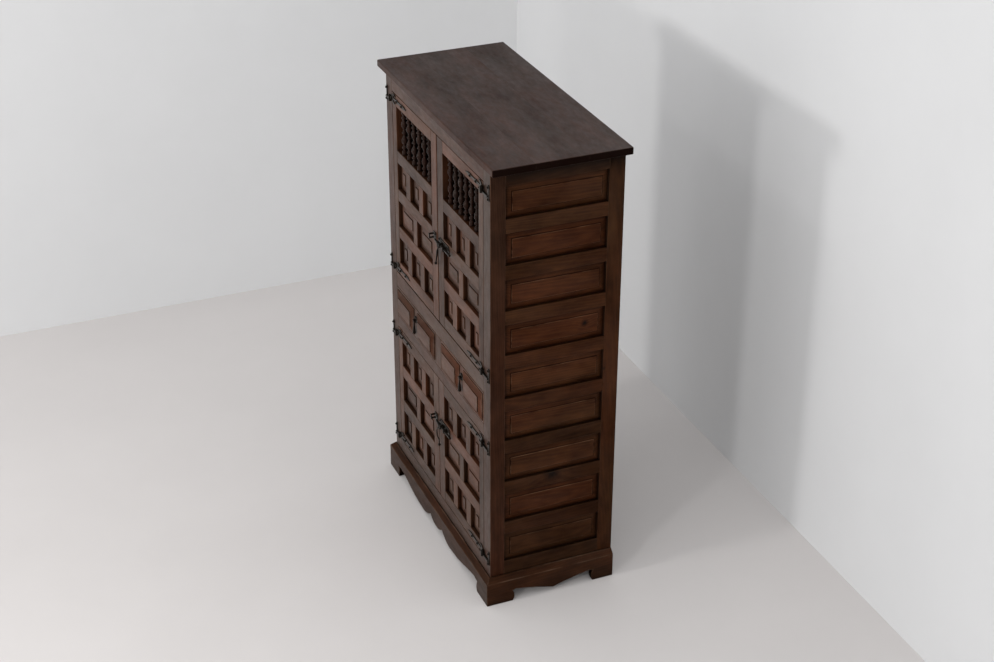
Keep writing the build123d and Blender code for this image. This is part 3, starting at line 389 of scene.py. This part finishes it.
panel_wood = wood("panel_wood", deep=(0.014, 0.0046, 0.0015), face=(0.052, 0.0190, 0.0062),
                  worn=(0.15, 0.080, 0.045), roughness=0.48, gloss=(0.08, 0.3), wear=0.55,
                  spread=0.22, knots=[((0.452, 0.112, 1.0), 0.010)])
plinth_wood = wood("plinth_wood", deep=(0.014, 0.0050, 0.0018), face=(0.050, 0.0190, 0.0072),
                   worn=(0.12, 0.072, 0.046), roughness=0.46, gloss=(0.08, 0.45), wear=0.45)
for part in ("side_panels_left", "side_panels_right"):
    boards(part, panel_wood, "panel_pine", grain=1, arris=0.0013, quirk=0.0009, seed=868)
for part in ("plinth_front", "plinth_left", "plinth_right"):
    boards(part, plinth_wood, "stained_pine", arris=0.0022, shortest=0.0)


# ------------------------------------------------------------------ floors, shelves and back
# Inside, plain boards rest on cleats along the side frames, and upright boards close the
# back. They got a thin coat of the same stain and no wax.

inner_wood = wood("inner_wood", deep=(0.010, 0.0045, 0.0025), face=(0.040, 0.019, 0.010),
                  worn=(0.08, 0.045, 0.03), roughness=0.62, gloss=(0.1, 0.1), wear=0.3)
for part in ("cabinet_floor", "drawer_deck", "upper_floor", "upper_shelf", "lower_shelf",
             "shelf_cleats", "drawer_guides", "back_boards", "back_rails"):
    boards(part, inner_wood, "plain_pine")


# ------------------------------------------------------------------ drawers
# Each front is one thick board with two raised fields, grooved for the bottom; the sides
# and back are thinner boards. The arrises of the fields are rubbed to pale wood.

drawer_wood = wood("drawer_wood", deep=(0.021, 0.0084, 0.0040), face=(0.070, 0.0285, 0.0140),
                   worn=(0.22, 0.135, 0.09), roughness=0.40, gloss=(0.08, 0.6), wear=0.6,
                   spread=0.28)
for side in ("left", "right"):
    boards(side + "_drawer_front", drawer_wood, "stained_pine", arris=0.0009, quirk=0.0009)
    boards(side + "_drawer_box", inner_wood, "plain_pine")
    boards(side + "_drawer_bottom", inner_wood, "plain_pine")


# ------------------------------------------------------------------ doors
# Four leaves of stiles, rails and short mullions hold small raised panels. The faces that look
# to the front get a painted satin sheen, grey brown, and the walls of the openings, without it,
# stay warm and red.

door_wood = wood("door_wood", deep=(0.021, 0.0082, 0.0036), face=(0.070, 0.0275, 0.0130),
                 worn=(0.14, 0.080, 0.048), roughness=0.40, gloss=(0.08, 0.6), wear=0.35,
                 spread=0.32)
door_panel_wood = wood("door_panel_wood", deep=(0.020, 0.0076, 0.0032), face=(0.068, 0.0265, 0.0122),
                       worn=(0.16, 0.090, 0.055), roughness=0.40, gloss=(0.08, 0.6), wear=0.6,
                       spread=0.32)
doors = ("upper_left_door", "upper_right_door", "lower_left_door", "lower_right_door")
for door in doors:
    boards(door + "_frame", door_wood, "stained_pine", arris=0.0014, joined=True)
    boards(door + "_panels", door_panel_wood, "stained_pine", arris=0.0007, quirk=0.0009, margin=0.006)


# ------------------------------------------------------------------ turned spindles
# Six slender balusters close the top of each upper door. They are turned from pine, with a
# stout foot and head, beads, and a pair of long swellings, and are socketed in the rails.

def group_input(tree, name, kind, value=None):
    """Adds a named input to a node tree."""
    socket = tree.interface.new_socket(name, in_out="INPUT", socket_type=kind)
    if value is not None:
        socket.default_value = value


def set_inputs(modifier, values):
    """Sets a modifier's inputs by the names that the tree gives them."""
    for item in modifier.node_group.interface.items_tree:
        if item.item_type == "SOCKET" and item.in_out == "INPUT" and item.name in values:
            modifier[item.identifier] = values[item.name]


def spindle_tree(material):
    """A turned profile spun about each input point, with its own tone for each spindle."""
    tree = bpy.data.node_groups.new("turned_spindles", "GeometryNodeTree")
    group_input(tree, "Points", "NodeSocketGeometry")
    for name, value in (("Height", 0.158), ("Radius", 0.0095)):
        group_input(tree, name, "NodeSocketFloat", value)
    group_input(tree, "Seed", "NodeSocketInt", 1)
    tree.interface.new_socket("Spindles", in_out="OUTPUT", socket_type="NodeSocketGeometry")
    given = tree.nodes.new("NodeGroupInput").outputs
    blank = node(tree, "GeometryNodeMeshCylinder",
                 {"Vertices": 28, "Side Segments": 96, "Radius": 1.0, "Depth": given["Height"]},
                 output="Mesh", fill_type="NGON")
    spot = node(tree, "GeometryNodeInputPosition")
    axes = tree.nodes.new("ShaderNodeSeparateXYZ")
    tree.links.new(spot, axes.inputs[0])
    share = calc(tree, "ADD", calc(tree, "DIVIDE", axes.outputs[2], given["Height"]), 0.5)
    curve = tree.nodes.new("ShaderNodeFloatCurve")
    profile = curve.mapping.curves[0]
    half = [(0.0, 0.86), (0.085, 0.86), (0.1, 0.5), (0.125, 0.52), (0.15, 0.9), (0.175, 0.9), (0.2, 0.5),
            (0.24, 0.62), (0.31, 1.0), (0.38, 0.78), (0.455, 0.42), (0.48, 0.6), (0.5, 0.82)]
    outline = half + [(1.0 - t, r) for t, r in half[-2::-1]]
    profile.points[0].location, profile.points[1].location = outline[0], outline[-1]
    for t, r in outline[1:-1]:
        profile.points.new(t, r)
    curve.mapping.update()
    tree.links.new(share, curve.inputs["Value"])
    girth = calc(tree, "MULTIPLY", curve.outputs[0], given["Radius"])
    round_off = node(tree, "ShaderNodeCombineXYZ", {0: girth, 1: girth, 2: 1.0})
    turned = node(tree, "ShaderNodeVectorMath", {0: spot, 1: round_off}, operation="MULTIPLY")
    turned = node(tree, "GeometryNodeSetPosition", {"Geometry": blank, "Position": turned})
    lie = node(tree, "ShaderNodeCombineXYZ", {0: axes.outputs[2], 1: axes.outputs[0], 2: axes.outputs[1]})
    turned = node(tree, "GeometryNodeStoreNamedAttribute",
                  {"Geometry": turned, "Name": "grain", "Value": lie}, data_type="FLOAT_VECTOR")
    tone = node(tree, "FunctionNodeRandomValue", {2: -1.0, 3: 1.0, "Seed": given["Seed"]}, 1,
                data_type="FLOAT")
    points = node(tree, "GeometryNodeMeshToPoints", {"Mesh": given["Points"]})
    points = node(tree, "GeometryNodeStoreNamedAttribute",
                  {"Geometry": points, "Name": "tone", "Value": tone}, data_type="FLOAT")
    placed = node(tree, "GeometryNodeInstanceOnPoints", {"Points": points, "Instance": turned})
    real = node(tree, "GeometryNodeRealizeInstances", {"Geometry": placed})
    dressed = node(tree, "GeometryNodeSetMaterial", {"Geometry": real, "Material": material})
    out = tree.nodes.new("NodeGroupOutput")
    tree.links.new(dressed, out.inputs[0])
    return tree


def grown(name, points, tree, values, body, *nodes, slot=None):
    """Puts what a node tree grows on some points on a body, as a plain mesh."""
    seeds = bpy.data.meshes.new(name + "_points")
    seeds.from_pydata(points, [], [])
    holder = bpy.data.objects.new(name + "_holder", seeds)
    bpy.context.scene.collection.objects.link(holder)
    modifier = holder.modifiers.new("grow", "NODES")
    modifier.node_group = tree
    set_inputs(modifier, values)
    grown_mesh = bpy.data.meshes.new_from_object(
        holder.evaluated_get(bpy.context.evaluated_depsgraph_get()))
    material = next(slotted for slotted in grown_mesh.materials if slotted)
    bpy.data.objects.remove(holder)
    finish_mesh(name, grown_mesh, material, body, *nodes, slot=slot)


def corners_of(faces):
    """All the corners of a solid's faces."""
    return (Vector(spot) for loop in faces for spot in loop)


spindle_wood = wood("spindle_wood", deep=(0.004, 0.0018, 0.0012), face=(0.026, 0.0115, 0.0080),
                    worn=(0.06, 0.03, 0.02), roughness=0.22, gloss=(0.12, 0.12))
spindles = spindle_tree(spindle_wood)
for number, side in enumerate(("left", "right")):
    part = "upper_" + side + "_door_spindles"
    boxes = [box_of(corners_of(solid)) for solid in solids(part)]
    socket = 0.006
    foot = boxes[0][0].z + socket
    height = boxes[0][1].z - socket - foot
    centres = [Vector(((low.x + high.x) / 2, (low.y + high.y) / 2, foot + height / 2))
               for low, high in boxes]
    grown("turned_" + part, centres, spindles, {"Height": height, "Seed": number + 3},
          "upper_" + side + "_door", part, slot="turned_pine")


# ------------------------------------------------------------------ hinges
# Each hinge is hammered from bar: a strap with a crescent and a leaf end, an eye on an
# upright pin, and a plate on the post. Forged nails hold both, and black scale and old wax
# dull the iron.

def iron(name, dark, light, roughness, flat_shine):
    """Black iron with a painted sheen: shiny on the flats that face the front and dull everywhere else.
    """
    material = bpy.data.materials.new(name)
    material.use_nodes = True
    tree = material.node_tree
    shader = tree.nodes["Principled BSDF"]
    spot = node(tree, "ShaderNodeTexCoord", output="Object")
    patch = texture(tree, spot, (60.0, 60.0, 60.0), 5.0, 0.65)
    rust = remap(tree, texture(tree, spot, (140.0, 140.0, 140.0), 4.0, 0.6), 0.52, 0.68)
    colour = blended(tree, remap(tree, patch, 0.35, 0.65), (*dark, 1.0), (*light, 1.0))
    colour = blended(tree, calc(tree, "MULTIPLY", rust, 0.3), colour, (0.035, 0.015, 0.007, 1.0))
    tree.links.new(colour, shader.inputs["Base Color"])
    tree.links.new(remap(tree, patch, 0.3, 0.7, roughness - 0.1, roughness + 0.12),
                   shader.inputs["Roughness"])
    facing = tree.nodes.new("ShaderNodeSeparateXYZ")
    tree.links.new(node(tree, "ShaderNodeTexCoord", output="Normal"), facing.inputs[0])
    sheen_by_facing = remap(tree, facing.outputs[1], -0.98, -0.85, flat_shine, 0.05)
    tree.links.new(sheen_by_facing, shader.inputs["Specular IOR Level"])
    shader.inputs["Specular Tint"].default_value = (1.0, 0.93, 0.86, 1.0)
    facets = node(tree, "ShaderNodeTexVoronoi", {"Vector": spot, "Scale": 210.0, "Smoothness": 0.6},
                  feature="SMOOTH_F1")
    height = calc(tree, "ADD", calc(tree, "MULTIPLY", facets, 0.7), calc(tree, "MULTIPLY", patch, 0.6))
    bump = node(tree, "ShaderNodeBump", {"Strength": 0.4, "Distance": 0.0008, "Height": height})
    tree.links.new(bump, shader.inputs["Normal"])
    return material


def forged(name, material, grain=0.0007, dent=0.00022):
    """A CAD node's solids with hammered faces and edges drawn round.

    grain is the cell of the remeshed iron, and dent is the depth of the hammer's marks.
    """
    mesh = bpy.data.meshes.new(name + "_bar")
    points, faces = [], []
    for solid in solids(name):
        corners = {}
        for loop in solid:
            faces.append([corners.setdefault(spot, len(points) + len(corners)) for spot in loop])
        points += corners
    mesh.from_pydata(points, [], faces)
    made = bpy.data.objects.new(name + "_anvil", mesh)
    bpy.context.scene.collection.objects.link(made)
    remesh = made.modifiers.new("remesh", "REMESH")
    remesh.mode, remesh.voxel_size = "VOXEL", grain
    smooth = made.modifiers.new("smooth", "SMOOTH")
    smooth.factor, smooth.iterations = 0.5, 2
    fine = bpy.data.meshes.new_from_object(made.evaluated_get(bpy.context.evaluated_depsgraph_get()))
    bpy.data.objects.remove(made)
    normals = [vertex.normal.copy() for vertex in fine.vertices]
    for vertex, normal in zip(fine.vertices, normals):
        hit = noise.noise(vertex.co * 160.0) + 0.5 * noise.noise(vertex.co * 380.0)
        vertex.co -= normal * dent * max(0.0, hit + 0.4)
    body = frame["nodes"][name]["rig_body"]
    finish_mesh(name + "_iron", fine, material, body, name, slot="forged_iron")


def nail_tree(material):
    """A hammered head with facets and its shank at each point, each turned its own way."""
    tree = bpy.data.node_groups.new("forged_nails", "GeometryNodeTree")
    group_input(tree, "Points", "NodeSocketGeometry")
    for name, value in (("Head radius", 0.0046), ("Head height", 0.0032), ("Shank radius", 0.0012),
                        ("Shank length", 0.016)):
        group_input(tree, name, "NodeSocketFloat", value)
    group_input(tree, "Seed", "NodeSocketInt", 1)
    tree.interface.new_socket("Nails", in_out="OUTPUT", socket_type="NodeSocketGeometry")
    given = tree.nodes.new("NodeGroupInput").outputs
    rim = calc(tree, "MULTIPLY", given["Head radius"], 0.97)
    crown = calc(tree, "MULTIPLY", given["Head radius"], 0.3)
    head = node(tree, "GeometryNodeMeshCone",
                {"Vertices": 10, "Side Segments": 3, "Fill Segments": 2, "Radius Top": crown,
                 "Radius Bottom": rim, "Depth": given["Head height"]}, output="Mesh")
    shank = node(tree, "GeometryNodeMeshCone",
                 {"Vertices": 8, "Radius Top": given["Shank radius"],
                  "Radius Bottom": calc(tree, "MULTIPLY", given["Shank radius"], 0.5),
                  "Depth": given["Shank length"]}, output="Mesh")
    drop = node(tree, "ShaderNodeCombineXYZ", {2: calc(tree, "MULTIPLY", given["Shank length"], -1.0)})
    shank = node(tree, "GeometryNodeTransform", {"Geometry": shank, "Translation": drop})
    join = tree.nodes.new("GeometryNodeJoinGeometry")
    tree.links.new(head, join.inputs[0])
    tree.links.new(shank, join.inputs[0])
    driven = node(tree, "GeometryNodeTransform",
                  {"Geometry": join.outputs[0], "Rotation": (math.radians(90), 0.0, 0.0)})
    points = node(tree, "GeometryNodeMeshToPoints", {"Mesh": given["Points"]})
    spin = node(tree, "FunctionNodeRandomValue", {2: -3.1, 3: 3.1, "Seed": given["Seed"]}, 1,
                data_type="FLOAT")
    spin = node(tree, "ShaderNodeCombineXYZ", {1: spin})
    size = node(tree, "FunctionNodeRandomValue",
                {2: 0.9, 3: 1.0, "Seed": calc(tree, "ADD", given["Seed"], 5.0)}, 1, data_type="FLOAT")
    placed = node(tree, "GeometryNodeInstanceOnPoints",
                  {"Points": points, "Instance": driven, "Rotation": spin, "Scale": size})
    real = node(tree, "GeometryNodeRealizeInstances", {"Geometry": placed})
    dressed = node(tree, "GeometryNodeSetMaterial", {"Geometry": real, "Material": material})
    out = tree.nodes.new("NodeGroupOutput")
    tree.links.new(dressed, out.inputs[0])
    return tree


black_iron = iron("black_iron", dark=(0.0035, 0.0028, 0.0022), light=(0.010, 0.008, 0.006),
                  roughness=0.42, flat_shine=0.7)
nails = nail_tree(black_iron)


def drive_nails(part, seed):
    """Puts a nail where a CAD node has one: big ones in the straps, small ones in the plates."""
    boxes = [box_of(corners_of(solid)) for solid in solids(part)]
    widest_small_head = 0.0096
    for kind, radius, head in (("strap", 0.0056, 0.0048), ("plate", 0.0046, 0.0032)):
        seats = [Vector(((low.x + high.x) / 2, low.y + head, (low.z + high.z) / 2)) for low, high in boxes
                 if (high.x - low.x > widest_small_head) == (kind == "strap")]
        if seats:
            grown(part + "_" + kind, seats, nails,
                  {"Head radius": radius, "Head height": head, "Seed": seed},
                  frame["nodes"][part]["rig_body"], part, slot="forged_iron")


forged("hinge_pintles", black_iron)
drive_nails("hinge_plate_nails", 2)
for number, door in enumerate(doors):
    forged(door + "_straps", black_iron)
    drive_nails(door + "_nails", number + 11)


# ------------------------------------------------------------------ bolts and pulls
# A round bar slides through staples on a nailed plate and into a square keeper. A drop
# hangs from the bar: a slim leaf above, an open loop below. The drawers have small drops.

def drawn_rod(name, runs, balls=()):
    """Tapered round rods through given points, as (point, radius) runs, and balls."""
    bm = bmesh.new()
    for run in runs:
        curve = bpy.data.curves.new(name, "CURVE")
        curve.dimensions, curve.bevel_depth, curve.bevel_resolution = "3D", 1.0, 5
        curve.use_fill_caps, curve.resolution_u = True, 10
        spline = curve.splines.new("NURBS")
        spline.points.add(len(run) - 1)
        spline.use_endpoint_u, spline.order_u = True, 3
        for point, (place, radius) in zip(spline.points, run):
            point.co, point.radius = (*place, 1.0), radius
        holder = bpy.data.objects.new(name, curve)
        bpy.context.scene.collection.objects.link(holder)
        rod = bpy.data.meshes.new_from_object(holder.evaluated_get(bpy.context.evaluated_depsgraph_get()))
        bm.from_mesh(rod)
        bpy.data.objects.remove(holder)
    for place, radius in balls:
        ball = bmesh.ops.create_icosphere(bm, subdivisions=3, radius=radius)["verts"]
        bmesh.ops.translate(bm, verts=ball, vec=place)
    bmesh.ops.remove_doubles(bm, verts=bm.verts, dist=1e-6)
    bmesh.ops.recalc_face_normals(bm, faces=bm.faces)
    mesh = bpy.data.meshes.new(name)
    bm.to_mesh(mesh)
    bm.free()
    return mesh


def yoke(at):
    """The pin through the eye and the bent fork that holds the drop's top."""
    def spot(x, z):
        return at + Vector((x, 0.0, z))
    pin = [(spot(-0.0053, 0), 0.002), (spot(0, 0), 0.002), (spot(0.0053, 0), 0.002)]
    bow = [(spot(-0.0041, 0.003), 0.0012), (spot(-0.0043, -0.002), 0.0014),
           (spot(-0.0034, -0.006), 0.0016), (spot(0, -0.0078), 0.0019), (spot(0.0034, -0.006), 0.0016),
           (spot(0.0043, -0.002), 0.0014), (spot(0.0041, 0.003), 0.0012)]
    return [pin, bow]


def hang(part, shape):
    """A drop on the pin of its joint: a yoke, and a rod that ends in a ball, or a pear."""
    joint = next(j for j in frame["joints"] if j["child"] == part)
    at = Vector(joint["pos_m"])
    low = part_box(part)[0]
    ball = 0.005
    runs = yoke(at)
    tip = Vector((at.x, at.y, low.z + ball))
    if shape == "pear":
        lathe = [(0.0072, 0.0022), (0.013, 0.0018), (0.022, 0.0028), (0.033, 0.0046), (0.044, 0.0059),
                 (0.0515, 0.0058), (0.0535, 0.0030), (0.0538, 0.0008)]
        runs.append([(at - Vector((0, 0, depth)), radius) for depth, radius in lathe])
    elif shape == "leaf":
        tip.x = low.x + ball
        swell = at.lerp(tip, 0.32)
        runs.append([(at + Vector((0, 0, -0.0075)), 0.0021), (at.lerp(tip, 0.2), 0.0028), (swell, 0.0046),
                     (at.lerp(tip, 0.55), 0.0032), (at.lerp(tip, 0.8), 0.0024), (tip, 0.0026)])
    else:
        reach = 0.0228
        middle = Vector((at.x, at.y, at.z - 0.0067 - 0.025))
        loop = [(middle + Vector((-reach * math.sin(a), 0.0, reach * math.cos(a))), 0.0022)
                for a in [math.radians(-8 + 19.6 * step) for step in range(11)]]
        loop[0] = (loop[0][0], 0.0014)
        loop[-1] = (loop[-1][0], 0.0014)
        runs.append(loop)
        runs.append([(middle + Vector((0, 0, -reach)), 0.0020), (middle.lerp(tip, 0.8), 0.0017),
                     (tip, 0.0019)])
    mesh = drawn_rod(part, runs, [] if shape == "pear" else [(tip, ball * 0.98)])
    finish_mesh(part + "_iron", mesh, black_iron, part, part, slot="forged_iron")


for tier in ("upper", "lower"):
    forged(tier + "_right_door_bolt_plate", black_iron)
    forged(tier + "_left_door_keeper", black_iron)
    forged(tier + "_bolt_bar", black_iron)
for side in ("left", "right"):
    forged(side + "_drawer_pull", black_iron, grain=0.0005)
hang("upper_bolt_drop", "leaf")
hang("lower_bolt_drop", "loop")
hang("left_drawer_drop", "pear")
hang("right_drawer_drop", "pear")


# ------------------------------------------------------------------ top
# Three planks, edge to edge, overhang the carcass at the front and the sides. Their wax is
# dull and grey, with faint scuffs from things set down on it.

top_wood = wood("top_wood", deep=(0.012, 0.0050, 0.0035), face=(0.045, 0.0212, 0.0148),
                worn=(0.12, 0.08, 0.055), roughness=0.46, gloss=(0.3, 0.3), wear=0.15, spread=0.1)
boards("top_planks", top_wood, "top_pine", arris=0.0008)


# ------------------------------------------------------------------ floor, walls, light
# A pale room: a smooth floor, two walls that show only from the inside, and three square
# lamps in front of the cupboard, whose shadows overlap on the back wall.

def pale(name, colour, one_sided):
    """Matt paint with faint clouds; one-sided paint isn't there when seen from behind."""
    material = bpy.data.materials.new(name)
    material.use_nodes = True
    tree = material.node_tree
    shader = tree.nodes["Principled BSDF"]
    spot = node(tree, "ShaderNodeTexCoord", output="Object")
    cloud = texture(tree, spot, (1.3, 1.3, 1.3), 6.0, 0.62)
    colour = blended(tree, 1.0, (*colour, 1.0), remap(tree, cloud, 0.3, 0.7, 0.975, 1.02), "MULTIPLY")
    tree.links.new(colour, shader.inputs["Base Color"])
    shader.inputs["Roughness"].default_value = 0.7
    shader.inputs["Specular IOR Level"].default_value = 0.2
    if one_sided:
        back = node(tree, "ShaderNodeNewGeometry", output="Backfacing")
        clear = node(tree, "ShaderNodeBsdfTransparent")
        both = node(tree, "ShaderNodeMixShader", {0: back, 1: shader.outputs[0], 2: clear})
        tree.links.new(both, tree.nodes["Material Output"].inputs["Surface"])
    return material


def sheet_of(name, corners, material):
    """A flat stretch of floor or wall, not part of the cupboard."""
    mesh = bpy.data.meshes.new(name)
    mesh.from_pydata(corners, [], [(0, 1, 2, 3)])
    mesh.materials.append(material)
    made = bpy.data.objects.new(name, mesh)
    bpy.context.scene.collection.objects.link(made)


floor_paint = pale("floor_paint", (0.68, 0.652, 0.640), False)
wall_paint = pale("wall_paint", (0.74, 0.745, 0.75), True)
left, back, far, tall = -2.05, 0.958, 7.0, 5.0
sheet_of("floor", [(-9, -9, 0), (9, -9, 0), (9, 9, 0), (-9, 9, 0)], floor_paint)
sheet_of("left_wall", [(left, -far, 0), (left, back, 0), (left, back, tall), (left, -far, tall)],
         wall_paint)
sheet_of("back_wall", [(left, back, 0), (far, back, 0), (far, back, tall), (left, back, tall)],
         wall_paint)


def lamp(name, place, aim, watts):
    """A soft square lamp that looks from one place at another."""
    side = 0.34
    data = bpy.data.lights.new(name, "AREA")
    data.shape, data.size, data.size_y = "RECTANGLE", side, side
    data.energy, data.color = watts, (1.0, 0.99, 0.98)
    made = bpy.data.objects.new(name, data)
    made.location = place
    made.rotation_mode = "QUATERNION"
    made.rotation_quaternion = (Vector(aim) - Vector(place)).to_track_quat("-Z", "Y")
    bpy.context.scene.collection.objects.link(made)


lamp("low_window", (0.42, -4.4, 2.02), (0, 0, 0.9), 41)
lamp("high_window", (0.3, -3.4, 3.75), (0, 0, 0.7), 11)
lamp("side_window", (2.6, -3.4, 2.1), (0, 0, 1.0), 29.5)
world = bpy.data.worlds.new("room")
bpy.context.scene.world = world
world.use_nodes = True
daylight = world.node_tree.nodes["Background"].inputs
daylight["Color"].default_value = (0.985, 0.99, 1.0, 1.0)
daylight["Strength"].default_value = 0.93


# ------------------------------------------------------------------ camera
# A long lens from high on the right, looking down at the cupboard's corner.

camera_data = bpy.data.cameras.new("camera")
camera_data.sensor_width, camera_data.lens = 36.0, 65.13
camera = bpy.data.objects.new("camera", camera_data)
camera.location = (4.9448, -2.0799, 3.7151)
camera.rotation_mode = "QUATERNION"
look = Euler((math.radians(90 - 28.81), 0.0, math.radians(67.174))).to_quaternion()
camera.rotation_quaternion = look @ Quaternion((0.0, 0.0, 1.0), math.radians(0.096))
bpy.context.scene.collection.objects.link(camera)
bpy.context.scene.camera = camera
bpy.context.scene.view_settings.view_transform = "Standard"
